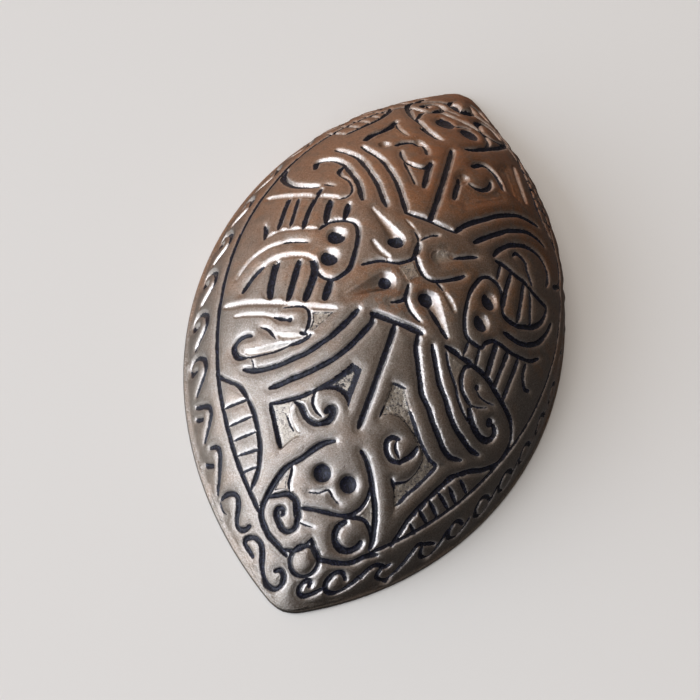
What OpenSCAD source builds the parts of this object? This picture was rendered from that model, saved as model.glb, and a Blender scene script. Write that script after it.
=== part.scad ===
// Tortoise brooch: a hollow cast dome on a pointed oval, with engraved animal ornament, and a dress
// pin under it. The brooch lies on its rim: X runs across it, Y from tip to tip, Z up.

/* [Dome] */
// Half of the length, from the middle to a tip
half_length = 31; // [27:0.5:40]
// Half of the width
half_width = 18; // [16:0.5:24]
// Height of the crown above the rim
height = 14.5; // [12:0.5:18]
// Height of the plain edge round the rim
rim_edge = 0.5; // [0.3:0.1:0.8]
// Exponent of the dome's section, where a lower one is fuller
fullness = 0.53; // [0.5:0.01:0.58]
// Thickness of the cast wall
wall = 1.6; // [1.4:0.1:1.8]

/* [Relief] */
// Width of the main grooves at the skin
groove_width = 0.6; // [0.4:0.05:0.7]
// Depth of the main grooves
groove_depth = 0.45; // [0.3:0.05:0.55]
// Depth of the sunken panels
panel_depth = 0.4; // [0.2:0.05:0.5]
// Diameter of the round eyes
eye_d = 1.55; // [1:0.05:1.8]
// Length along the rim that one border scroll takes
scroll_pitch = 4.85; // [4.5:0.05:6]
// Height of the pellet at each tip
pellet_rise = 0.3; // [0.1:0.05:0.4]

/* [Pin] */
// Diameter of the pin's wire
wire_d = 1.4; // [1:0.1:1.6]
// Height of the wire's centre line above the rim plane
wire_z = 2.6; // [2.2:0.1:3]
// Distance of each foot from the middle
foot_y = 19; // [16:0.5:21]
// Side of the square feet and pads
foot_side = 3.2; // [2.5:0.1:4]
// Height of the pads' flat faces above the rim plane
pad_z = 4.6; // [4.2:0.1:5]

/* [Hidden] */

// The footprint is two arcs of this radius, whose centres lie this far to either side
arc_r = (half_length ^ 2 + half_width ^ 2) / (2 * half_width);
arc_c = arc_r - half_width;

// The central field is a smaller pointed oval, and the border is what is left round it
field_length = half_length * 0.91;
field_width = half_width * 0.892;
field_r = (field_length ^ 2 + field_width ^ 2) / (2 * field_width);
field_c = field_r - field_width;

// The ornament is charted in millimetres on a brooch of this size
chart_length = 31;
chart_width = 18;
// The far half is drawn a little longer than the near one
far_stretch = 1.1;

dome_rows = 21;
dome_columns = 13;
hollow_rows = 14;
hollow_columns = 8;
groove_step = 3;
border_step = 5.5;
lift = 0.25;
seat_gap = 0.1;

// Grooves of one side. Columns: share of the main width, then the groove's turns as
// [distance from the middle line, distance from the middle towards a tip]
right_grooves = [
    [1, [[2.4, 6.2], [3.2, 8.3], [4.6, 10.8], [7.2, 13.1], [10.3, 13.7]]],
    [0.9, [[3.95, 6.3], [5.2, 8.3], [6.8, 10.1], [8.8, 11.8], [11.8, 12.2]]],
    [0.6, [[5.3, 6.2], [7.4, 8.9], [9.6, 10.5]]],
    [1, [[9.5, 9.7], [10.4, 10.6], [11.9, 10.8], [12.6, 9.7]]],
    [1, [[5.2, 5.8], [9.7, 6.05], [13, 7.2], [14.4, 9], [13.4, 12.1], [9.6, 16]]],
    [0.8, [[8.1, 6.3], [7.6, 7.2], [8.2, 8.7], [9.5, 9.3]]],
    [0.8, [[9.3, 7.4], [9.9, 8], [11.5, 7.7]]],
    [0.9, [[1.3, 17.4], [3, 18.9], [4.5, 20.6], [5.5, 23.6]]],
    [0.7, [[3.4, 19.6], [3.1, 21.5], [1.9, 22.7], [0.6, 22.85]]],
    [0.6, [[2.1, 22.7], [3.8, 22.2], [5.3, 23.9]]],
    [1, [[2.35, 22.9], [1.8, 24], [3.1, 24.9], [4.3, 23.9]]],
    [1, [[5.9, 15.2], [5.2, 16.7], [3.9, 16.9], [3.3, 16], [4, 15.3]]],
    [0.9, [[10.3, 15.2], [8.3, 18.9], [7.1, 22.7]]],
];
left_grooves = [
    [1, [[1.9, 6.2], [3.1, 9.3], [5.1, 11.8], [8.5, 14.3]]],
    [1, [[3.55, 5.8], [5, 8.8], [7.5, 11.5], [11.3, 12.8]]],
    [1, [[6.5, 8.7], [9.3, 11.1], [11.6, 11.8], [12.8, 10.8], [11.8, 9.7]]],
    [1.1, [[5.1, 5.7], [10, 5.9], [15, 6.1]]],
    [0.8, [[9.9, 6.9], [7.8, 6.6], [7.3, 8.3], [9.1, 9.7], [11.6, 8.8]]],
    [0.8, [[9.1, 7.9], [11.6, 7.5], [13.8, 7.7]]],
    [0.8, [[13.4, 12.9], [11.5, 14.3], [9.6, 16]]],
    [0.9, [[1.3, 17.4], [2.8, 18.5], [4.6, 20.6], [5.3, 23.3], [5.2, 24.3]]],
    [0.7, [[3.5, 19.9], [3.1, 21.8], [1.9, 22.8], [-0.8, 23]]],
    [1, [[2.6, 22.6], [1.8, 24.1], [2.3, 25.2], [4, 24.3], [3.6, 23.5]]],
    [1, [[4.5, 13.9], [4, 15.4], [2.8, 15.9], [2.4, 15.1]]],
    [0.9, [[10, 15.4], [7.9, 18.3], [6.8, 22.6]]],
];

// Ribs beside the side heads. Columns: inner x, inner y, outer x, outer y
ribs = [
    [7, 3.9, 6.9, 5.5],
    [8.4, 3.6, 8.5, 5.5],
    [9.9, 2.4, 9.8, 5.6],
    [11.2, 2.3, 11, 5.7],
    [12.5, 2.4, 12.4, 5.8],
];

// Rungs of the ladders. Columns: inner x, inner y, outer x, outer y
rungs = [
    [10.1, 15.9, 11.6, 16.5],
    [9.3, 17.1, 10.8, 17.7],
    [8.7, 18.2, 10.1, 18.8],
    [8.1, 19.4, 9.3, 20],
    [7.5, 20.9, 8.3, 21.4],
];

// Left side head and its neck, with the distance out from the middle line. Columns: x, y
head_outline = [
    [9.4, 2], [8, 3.3], [6.4, 3.1], [5.65, 0.2], [6.4, -3.1], [8, -3.1], [9.3, -1.8],
    [11.4, -1.6], [13.4, -2.8], [14, -5.2]
];
neck_line = [[10, 0.2], [12.2, -0.1], [14.1, -1.4], [14.9, -3.8]];
brow_line = [[10.6, 1.8], [12.4, 1.6], [13.8, 0.6]];

// Loops round the four teardrops. Columns: x, y
drop_outer = [[0.15, 1.9], [0.4, 3.3], [1.5, 4.3], [2.3, 4.9]];
drop_inner = [[1.3, 0.4], [2.9, 0.4], [4.4, 1.5]];

// Sunken panels. Columns: x, y
upper_panel = [
    [1.6, 10.8], [3, 10.9], [4.2, 12.6], [6.2, 14.4], [8, 15.3], [6.2, 15], [5, 14.3],
    [3.6, 13.6], [2.4, 13.9], [1.6, 14.4]
];
lower_panel = [[8.2, 15.5], [7.5, 17.2], [6.1, 20.2], [4.8, 18.4], [6, 17.7], [6.9, 15.6]];

// Border scrolls. Columns: distance along the rim, share of the way across the border
left_scroll = [[0, 0.7], [1.1, 0.36], [2.6, 0.74], [4, 0.56], [4.2, 0.16], [2.8, 0.3]];
right_scroll = [[1.8, 0.64], [0.8, 0.78], [0, 0.56], [1.4, 0.24], [2.9, 0.42], [4.3, 0.72]];
// Where the border line turns in under the head at each tip. Columns: x, y
tip_turn = [[3.1, 26], [1.9, 26.25], [0.9, 25.9], [-0.2, 24.9]];

pellet_y = 26.8;
pellet_r = 1.15;
end_eye = [1.3, 20.15];
side_eyes = [[7.65, 1.4], [7.65, -1.05]];
drop_head = [2.3, 2.4];
drop_tail = [5.1, 4.9];

function unit(v) = v / norm(v);

// Height of the skin over a point of the plan, for a dome that is this much smaller all round
function nearness(x, y, r) =
    max(0, 1 - ((x + arc_c) ^ 2 + y * y) / r ^ 2) * max(0, 1 - ((x - arc_c) ^ 2 + y * y) / r ^ 2);
function dome_z(x, y, inset = 0) =
    let (r = arc_r - inset, foot = inset > 0 ? 0 : rim_edge)
    foot + (height - inset - foot) * (nearness(x, y, r) / nearness(0, 0, r)) ^ fullness;
function skin(p) = [p.x, p.y, dome_z(p.x, p.y)];
function outward(p) =
    let (e = 0.02)
    unit([
        dome_z(p.x - e, p.y) - dome_z(p.x + e, p.y),
        dome_z(p.x, p.y - e) - dome_z(p.x, p.y + e),
        2 * e
    ]);

// A charted point, laid on one side (1 or -1) and towards one end (1 far, -1 near)
function charted(p, side, end) =
    let (y = p.y + (end > 0 ? far_stretch * sin(180 * p.y / chart_length) : 0))
    [side * p.x * half_width / chart_width, end * y * half_length / chart_length];

// A point of a side head: the right head is the left one turned by half a turn
function on_head(p, side) = [side * p.x * half_width / chart_width, -side * p.y * half_length / chart_length];

// A point of the border: distance along the rim from the middle, and share of the way across
function on_border(s, t, side) =
    let (a = s / arc_r * 180 / PI)
    let (b = a * asin(field_length / field_r) / asin(half_length / arc_r))
    let (rim = [arc_r * cos(a) - arc_c, arc_r * sin(a)])
    let (field = [field_r * cos(b) - field_c, field_r * sin(b)])
    let (p = rim + (field - rim) * t ^ (1 / fullness))
    [side * p.x, p.y];

// A smooth curve through the given turns, with no span longer than step
function between(a, b, c, d, t) =
    0.5 * (2 * b + (c - a) * t + (2 * a - 5 * b + 4 * c - d) * t ^ 2 + (3 * b - a - 3 * c + d) * t ^ 3);
function curve(p, step) =
    let (last = len(p) - 1)
    [
        for (i = [0 : last - 1])
            let (steps = max(1, ceil(norm(skin(p[i + 1]) - skin(p[i])) / step)))
            for (k = [0 : steps - 1])
                between(p[max(i - 1, 0)], p[i], p[i + 1], p[min(i + 2, last)], k / steps),
        p[last]
    ];

// The dome as a closed solid down to a flat bottom
module dome(inset, bottom, bands = dome_rows, columns = dome_columns) {
    tip = sqrt((arc_r - inset) ^ 2 - arc_c ^ 2);
    row_y = [for (j = [1 : bands - 1]) let (f = 2 * j / bands - 1) tip * (sin(90 * f) + f) / 2];
    across = [for (i = [0 : columns]) sin(180 * i / columns - 90)];
    reach = [for (y = row_y) sqrt((arc_r - inset) ^ 2 - y * y) - arc_c];
    edge_z = inset > 0 ? 0 : rim_edge;
    wide = columns + 1;
    rows = len(row_y);
    points = concat(
        [for (j = [0 : rows - 1], f = across) [reach[j] * f, row_y[j], dome_z(reach[j] * f, row_y[j], inset)]],
        [for (j = [0 : rows - 1], side = [-1, 1]) [side * reach[j], row_y[j], bottom]],
        [[0, -tip, edge_z], [0, -tip, bottom], [0, tip, edge_z], [0, tip, bottom]]
    );
    low = rows * wide;
    end = low + 2 * rows;
    top = (rows - 1) * wide;
    polyhedron(points, concat(
        [for (j = [0 : rows - 2], i = [0 : wide - 2]) let (a = j * wide + i) [a, a + wide, a + 1]],
        [for (j = [0 : rows - 2], i = [0 : wide - 2]) let (a = j * wide + i) [a + 1, a + wide, a + wide + 1]],
        [for (i = [0 : wide - 2]) [end, i, i + 1]],
        [for (i = [0 : wide - 2]) [end + 2, top + i + 1, top + i]],
        [for (j = [0 : rows - 2]) [j * wide, low + 2 * j, low + 2 * j + 2, j * wide + wide]],
        [for (j = [0 : rows - 2]) let (a = j * wide + wide - 1) [a, a + wide, low + 2 * j + 3, low + 2 * j + 1]],
        [[end, end + 1, low, 0], [wide - 1, low + 1, end + 1, end]],
        [[end + 2, end + 3, low + 2 * rows - 1, top + wide - 1], [top, low + 2 * rows - 2, end + 3, end + 2]],
        [concat(
            [end + 1],
            [for (j = [0 : rows - 1]) low + 2 * j + 1],
            [end + 3],
            [for (j = [rows - 1 : -1 : 0]) low + 2 * j]
        )]
    ));
}

// A V-shaped cutter that follows the skin along a path in plan, and thins out at both ends
module groove(turns, share = 1, step = groove_step) {
    path = curve(turns, step);
    last = len(path) - 1;
    rings = [
        for (i = [0 : last])
            let (p = path[i], n = outward(p))
            let (along = skin(path[min(i + 1, last)]) - skin(path[max(i - 1, 0)]))
            let (s = unit(cross(n, along)))
            let (ends = i == 0 || i == last ? 0.55 : 1)
            let (w = groove_width * share * ends / 2, d = groove_depth * sqrt(share) * ends)
            each [skin(p) + s * w * (d + lift) / d + n * lift,
                  skin(p) - s * w * (d + lift) / d + n * lift,
                  skin(p) - n * d]
    ];
    polyhedron(rings, concat(
        [[0, 1, 2], [3 * last + 2, 3 * last + 1, 3 * last]],
        [for (i = [0 : last - 1], k = [0 : 2]) let (a = 3 * i) [a + k, a + 3 + k, a + (k + 1) % 3]],
        [for (i = [0 : last - 1], k = [0 : 2])
            let (a = 3 * i, b = (k + 1) % 3) [a + b, a + 3 + k, a + 3 + b]]
    ));
}

// Places its children on the skin at a point of the plan, with Z pointing outward
module on_skin(p) {
    n = outward(p);
    translate(skin(p)) rotate([0, acos(n.z), atan2(n.y, n.x)]) children();
}

module four_ways() {
    for (side = [-1, 1], end = [-1, 1]) {
        $side = side;
        $end = end;
        children();
    }
}

// Straps, limbs, ears and curls: each side has its own, drawn again towards the far tip
module body_grooves() {
    four_ways() for (row = $side > 0 ? right_grooves : left_grooves)
        groove([for (p = row[1]) charted(p, $side, $end)], row[0]);
    for (end = [-1, 1]) {
        groove([for (y = [5.6, 9, 12.5, 15.7]) charted([0.2, y], 1, end)]);
        groove([for (x = [-2.2, 0.7, 2.6]) charted([x, 5.7], 1, end)]);
        groove([for (p = [[-1.8, 21.8], [-0.3, 21.2], [1.3, 21.9]]) charted(p, 1, end)], 0.6);
    }
}

module rib_and_rung_grooves() {
    four_ways() for (row = concat(ribs, rungs))
        groove([charted([row[0], row[1]], $side, $end), charted([row[2], row[3]], $side, $end)], 0.95);
}

module side_heads() {
    for (side = [-1, 1]) for (line = [head_outline, neck_line, brow_line])
        groove([for (p = line) on_head(p, side)], 0.85);
}

module teardrops() {
    four_ways() {
        groove([for (p = drop_outer) charted(p, $side, $end)], 0.8);
        groove([for (p = drop_inner) charted(p, $side, $end)], 0.8);
        hull() {
            on_skin(charted(drop_head, $side, $end)) sphere(d = 1.4, $fn = 8);
            on_skin(charted(drop_tail, $side, $end)) sphere(d = 0.4, $fn = 6);
        }
    }
}

// A round pit with a bowl-shaped floor
module eye(p) {
    on_skin(p) hull() {
        translate([0, 0, lift]) cylinder(d = eye_d, h = lift, $fn = 12);
        translate([0, 0, -groove_depth * 1.3]) cylinder(d = eye_d * 0.55, h = lift, $fn = 12);
    }
}

module eyes() {
    four_ways() eye(charted(end_eye, $side, $end));
    for (side = [-1, 1], p = side_eyes) eye(on_head(p, side));
}

module panels() {
    difference() {
        four_ways() linear_extrude(height + 1) for (outline = [upper_panel, lower_panel])
            polygon([for (p = outline) charted(p, $side, $end)]);
        dome(panel_depth, -1);
    }
}

module border_grooves() {
    rim_half = arc_r * asin(half_length / arc_r) * PI / 180;
    scrolls = floor(2 * rim_half / scroll_pitch);
    for (side = [-1, 1]) {
        unit_turns = side > 0 ? right_scroll : left_scroll;
        for (k = [0 : scrolls - 1]) {
            start = (k - scrolls / 2) * scroll_pitch;
            groove([for (p = unit_turns) on_border(start + p.x, p.y, side)], 0.9);
        }
        straight = [for (f = [-5.5 : 5.5]) on_border(f / 6.4 * rim_half, 1, side)];
        near = [for (i = [3 : -1 : 0]) charted(tip_turn[i], side, -1)];
        far = [for (p = tip_turn) charted(p, side, 1)];
        groove(concat(near, straight, far), 1, border_step);
    }
    for (end = [-1, 1]) groove(
        [for (a = [-150 : 50 : 150])
            charted([(pellet_r + 0.25) * sin(a), pellet_y - (pellet_r + 0.25) * cos(a)], 1, end)],
        0.8);
}

module pellets() {
    for (end = [-1, 1]) on_skin(charted([0, pellet_y], 1, end))
        scale([1, 1, pellet_rise / pellet_r]) sphere(r = pellet_r, $fn = 10);
}

// The two pads inside, which carry the pin's feet
module pads() {
    intersection() {
        for (end = [-1, 1]) translate([-foot_side / 2, end * foot_y - foot_side / 2, pad_z])
            cube([foot_side, foot_side, height]);
        dome(wall / 2, 0);
    }
}

module shell() {
    color("#8c7b68") {
        difference() {
            union() {
                dome(0, 0);
                pellets();
            }
            dome(wall, -1, hollow_rows, hollow_columns);
            body_grooves();
            rib_and_rung_grooves();
            side_heads();
            teardrops();
            eyes();
            panels();
            border_grooves();
        }
        pads();
    }
}

module pin() {
    foot_top = pad_z - seat_gap;
    foot_z = wire_z - wire_d / 2 - 0.4;
    point = wire_d * 2.5;
    color("#9a9488") {
        for (end = [-1, 1]) translate([-foot_side / 2, end * foot_y - foot_side / 2, foot_z])
            cube([foot_side, foot_side, foot_top - foot_z]);
        translate([0, -foot_y, wire_z]) rotate([-90, 0, 0]) cylinder(d = wire_d, h = 2 * foot_y, $fn = 32);
        translate([0, foot_y, wire_z]) rotate([-90, 0, 0])
            cylinder(d1 = wire_d, d2 = wire_d * 0.3, h = foot_side / 2 + point, $fn = 32);
    }
}

shell();
pin();
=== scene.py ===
import bmesh
import bpy
import math
from mathutils import Matrix, Vector, kdtree, noise


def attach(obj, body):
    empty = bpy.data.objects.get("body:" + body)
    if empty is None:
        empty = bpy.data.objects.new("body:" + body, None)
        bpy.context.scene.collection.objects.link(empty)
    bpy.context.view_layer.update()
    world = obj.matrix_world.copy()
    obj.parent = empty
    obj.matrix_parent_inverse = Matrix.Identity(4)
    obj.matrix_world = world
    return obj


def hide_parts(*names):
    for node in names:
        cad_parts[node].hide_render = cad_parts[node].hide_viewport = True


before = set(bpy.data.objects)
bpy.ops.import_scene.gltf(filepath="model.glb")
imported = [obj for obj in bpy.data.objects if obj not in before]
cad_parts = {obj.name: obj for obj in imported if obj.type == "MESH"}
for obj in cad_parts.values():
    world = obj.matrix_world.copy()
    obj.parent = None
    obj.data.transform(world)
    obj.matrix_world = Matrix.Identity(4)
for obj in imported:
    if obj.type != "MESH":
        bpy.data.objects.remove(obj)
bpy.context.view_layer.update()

# Everything below is worked out in millimetres and made metres at the end
millimetre = 0.001

# The dome itself, with the same values as the CAD part
dome = {
    "halfLength": 31.0,
    "halfWidth": 18.0,
    "height": 14.5,
    "rimEdge": 0.5,
    "fullness": 0.53,
    "wall": 1.6,
    "fieldLength": 0.91,   # the inner field, as a share of the whole
    "fieldWidth": 0.892,
    "farStretch": 1.1,     # the far half is drawn a little longer
}
# The rim's two arcs and the field's: their radius, and how far aside of the middle their centres lie
rimRadius = (dome["halfLength"] ** 2 + dome["halfWidth"] ** 2) / (2 * dome["halfWidth"])
rimAside = rimRadius - dome["halfWidth"]
fieldHalf = dome["halfLength"] * dome["fieldLength"]
fieldSide = dome["halfWidth"] * dome["fieldWidth"]
fieldRadius = (fieldHalf ** 2 + fieldSide ** 2) / (2 * fieldSide)
fieldAside = fieldRadius - fieldSide
rimTurn = math.asin(dome["halfLength"] / rimRadius)
fieldTurn = math.asin(fieldHalf / fieldRadius)


def nearness(x, y, r):
    return (max(0.0, 1 - ((x + rimAside) ** 2 + y * y) / r ** 2)
            * max(0.0, 1 - ((x - rimAside) ** 2 + y * y) / r ** 2))


def skinHeight(x, y, inset=0.0):
    r = rimRadius - inset
    foot = 0.0 if inset > 0 else dome["rimEdge"]
    top = dome["height"] - inset
    return foot + (top - foot) * (nearness(x, y, r) / nearness(0, 0, r)) ** dome["fullness"]


def onSkin(x, y):
    return Vector((x, y, skinHeight(x, y)))


def outward(x, y, aside=0.03):
    return Vector((skinHeight(x - aside, y) - skinHeight(x + aside, y),
                   skinHeight(x, y - aside) - skinHeight(x, y + aside), 2 * aside)).normalized()


def onBorder(s, t, side):
    # s is the way along the rim from its middle, t the share of the way from the rim to the field
    a = s / rimRadius
    b = a * fieldTurn / rimTurn
    rim = Vector((rimRadius * math.cos(a) - rimAside, rimRadius * math.sin(a)))
    field = Vector((fieldRadius * math.cos(b) - fieldAside, fieldRadius * math.sin(b)))
    p = rim.lerp(field, max(t, 0.0) ** (1 / dome["fullness"]))
    return (side * p.x, p.y)


def toFarEnd(points):
    # a near line drawn again towards the far tip
    return [(x, -y + dome["farStretch"] * math.sin(math.pi * -y / dome["halfLength"])) for x, y in points]


viewAlong = Vector((0.0505, 0.5190, -0.8533))   # the photo's line of sight, down and towards the far tip


def underView(p, depth):
    # the lines are drawn where the camera sees their floor, so the groove starts a little farther away
    n = outward(p.x, p.y)
    facing = -viewAlong.dot(n)
    step = (n + viewAlong / max(facing, 0.4)) * depth * min(1.0, max(0.0, facing * 3 - 0.5))
    return onSkin(p.x + step.x, p.y + step.y)


def between(a, b, c, d, t):
    # a place on the smooth curve from b to c, which heads for its neighbours a and d
    return 0.5 * (2 * b + (c - a) * t + (2 * a - 5 * b + 4 * c - d) * t ** 2
                  + (3 * b - a - 3 * c + d) * t ** 3)


def smoothLine(points, step):
    p = [Vector(q) for q in points]
    last = len(p) - 1
    line = []
    for i in range(last):
        steps = max(1, math.ceil((onSkin(*p[i + 1]) - onSkin(*p[i])).length / step))
        for k in range(steps):
            line.append(between(p[max(i - 1, 0)], p[i], p[i + 1], p[min(i + 2, last)], k / steps))
    return line + [p[last]]


# The ornament, as lines on the plan in millimetres: (kind, points)
lineKinds = {
    # half width at the skin, depth, share of both that is left at the ends, how much patina lies in it
    "broad": (0.42, 0.53, 0.8, 1.0),
    "main": (0.355, 0.48, 0.72, 1.0),
    "slim": (0.29, 0.42, 0.7, 1.0),
    "fine": (0.24, 0.32, 0.6, 1.0),
    "scroll": (0.35, 0.46, 0.85, 1.0),
    "hair": (0.205, 0.26, 0.8, 1.0),
    "soft": (0.34, 0.26, 0.85, 1.0),
    "valley": (0.40, 0.31, 0.8, 0.0),
    "dent": (0.27, 0.25, 0.5, 0.0),
}

rightWing = [(5.2, -5.8), (7.1, -5.9), (9.7, -6.05), (11.2, -6.6), (12.1, -6.9), (13.0, -7.2), (13.7, -7.6),
             (14.2, -8.3), (14.4, -9.0), (14.3, -10.2), (14.0, -11.2), (13.4, -12.1), (12.6, -13.0),
             (11.6, -13.8), (10.8, -14.6), (10.1, -15.3), (9.6, -16.0)]
nearRight = [
    ("main", [(2.4, -5.8), (2.5, -6.5), (2.6, -7.2), (3.2, -8.3), (3.9, -9.6), (4.6, -10.8), (5.6, -11.6),
        (6.4, -12.4), (7.4, -13.2), (8.3, -13.85), (9.3, -14.1), (10.3, -13.7)]),
    ("main", [(3.95, -6.3), (4.5, -7.2), (5.2, -8.3), (5.9, -9.3), (6.8, -10.1), (7.7, -11.0), (8.8, -11.8),
        (10.0, -12.2), (10.9, -12.4), (11.8, -12.2)]),
    ("fine", [(5.3, -6.0), (5.8, -6.9), (6.5, -7.8), (7.4, -8.7), (8.0, -9.5), (8.9, -10.2), (9.9, -10.7)]),
    ("broad", [(12.2, -9.2), (12.5, -9.7), (12.4, -10.3), (11.9, -10.8), (11.2, -10.9), (10.3, -10.6),
        (9.7, -10.1), (9.35, -9.6)]),
    ("main", rightWing),
    ("slim", [(8.1, -6.2), (7.6, -6.6), (7.6, -7.7), (8.0, -8.5), (8.7, -9.0), (9.5, -9.3)]),
    ("hair", [(9.4, -9.2), (10.1, -8.95), (10.9, -8.4)]),
    ("hair", [(9.3, -7.6), (9.9, -8.0), (10.7, -8.0), (11.5, -7.7)]),
    ("fine", [(7.06, -4.0), (7.06, -5.9)]),
    ("slim", [(8.3, -4.0), (8.5, -5.9)]),
    ("broad", [(9.75, -2.6), (9.85, -6.0)]),
    ("main", [(11.1, -2.5), (10.9, -6.5)]),
    ("main", [(12.3, -2.4), (12.15, -6.8)]),
    ("main", [(13.25, -2.0), (13.25, -3.0), (13.6, -3.7), (14.0, -4.0), (14.45, -3.8)]),
    ("slim", [(0.05, -1.7), (0.1, -2.4), (0.15, -3.0), (0.4, -3.5), (0.9, -4.05), (1.5, -4.45),
        (2.15, -4.75)]),
    ("fine", [(2.3, -0.3), (2.8, -0.5), (3.2, -0.8)]),
    ("valley", [(3.5, -1.0), (3.9, -1.3), (4.4, -1.7), (4.8, -2.15)]),
    ("broad", [(2.5, -3.0), (3.2, -3.6), (4.0, -4.25)]),
    ("main", [(4.0, -4.3), (5.0, -5.0)]),
    ("main", [(6.0, -15.0), (5.9, -15.5), (5.6, -16.1), (5.0, -16.8)]),
    ("soft", [(5.0, -16.85), (4.1, -17.0), (3.4, -16.5), (3.15, -15.8), (3.5, -15.3), (4.1, -15.2)]),
    ("fine", [(3.95, -15.3), (4.1, -16.0), (4.8, -16.6)]),
    ("fine", [(1.7, -11.0), (3.1, -11.0)]),
    ("fine", [(4.2, -12.65), (5.3, -13.75), (6.4, -14.7), (7.5, -15.3), (8.3, -15.45), (8.0, -16.4),
        (7.4, -17.6), (6.7, -18.8), (6.2, -19.9)]),
    ("slim", [(4.8, -18.35), (5.4, -18.9)]),
    ("hair", [(5.2, -18.5), (6.2, -17.9), (6.8, -16.8), (6.95, -15.6)]),
    ("fine", [(1.8, -13.0), (1.75, -14.2)]),
    ("main", [(10.3, -15.2), (9.6, -16.3), (8.9, -17.6), (8.3, -18.9), (7.7, -20.2), (7.4, -21.4),
        (7.1, -22.7)]),
    ("slim", [(11.0, -15.0), (12.0, -15.35)]),
    ("slim", [(10.2, -16.1), (11.4, -16.7)]),
    ("slim", [(9.5, -17.1), (10.9, -17.5)]),
    ("slim", [(8.9, -18.1), (10.2, -18.6)]),
    ("slim", [(8.3, -19.2), (9.6, -19.6)]),
    ("slim", [(8.0, -20.5), (8.8, -20.8)]),
    ("main", [(1.3, -17.4), (2.0, -17.9), (2.7, -18.65), (3.2, -19.35), (3.75, -20.1), (4.3, -20.95),
        (4.75, -21.8), (5.15, -22.8), (5.4, -23.7)]),
    ("slim", [(3.25, -19.5), (3.35, -20.2), (3.35, -20.9), (3.1, -21.6), (2.6, -22.2), (1.9, -22.6),
        (0.9, -22.8), (-0.8, -23.0), (-2.1, -23.2)]),
    ("slim", [(2.1, -22.7), (2.8, -22.4), (3.8, -22.2), (4.6, -22.6), (5.2, -23.3), (5.3, -24.0)]),
    ("broad", [(2.3, -22.95), (1.85, -23.45), (1.8, -24.15), (2.25, -24.75), (2.95, -24.95), (3.65, -24.75),
        (4.15, -24.25), (4.3, -23.8)]),
    ("main", [(0.0, -25.15), (0.4, -25.65), (0.85, -26.05), (1.4, -26.35), (2.1, -26.25), (3.1, -26.0),
        (4.3, -25.4), (5.2, -24.5), (6.2, -23.9)]),
]
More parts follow.
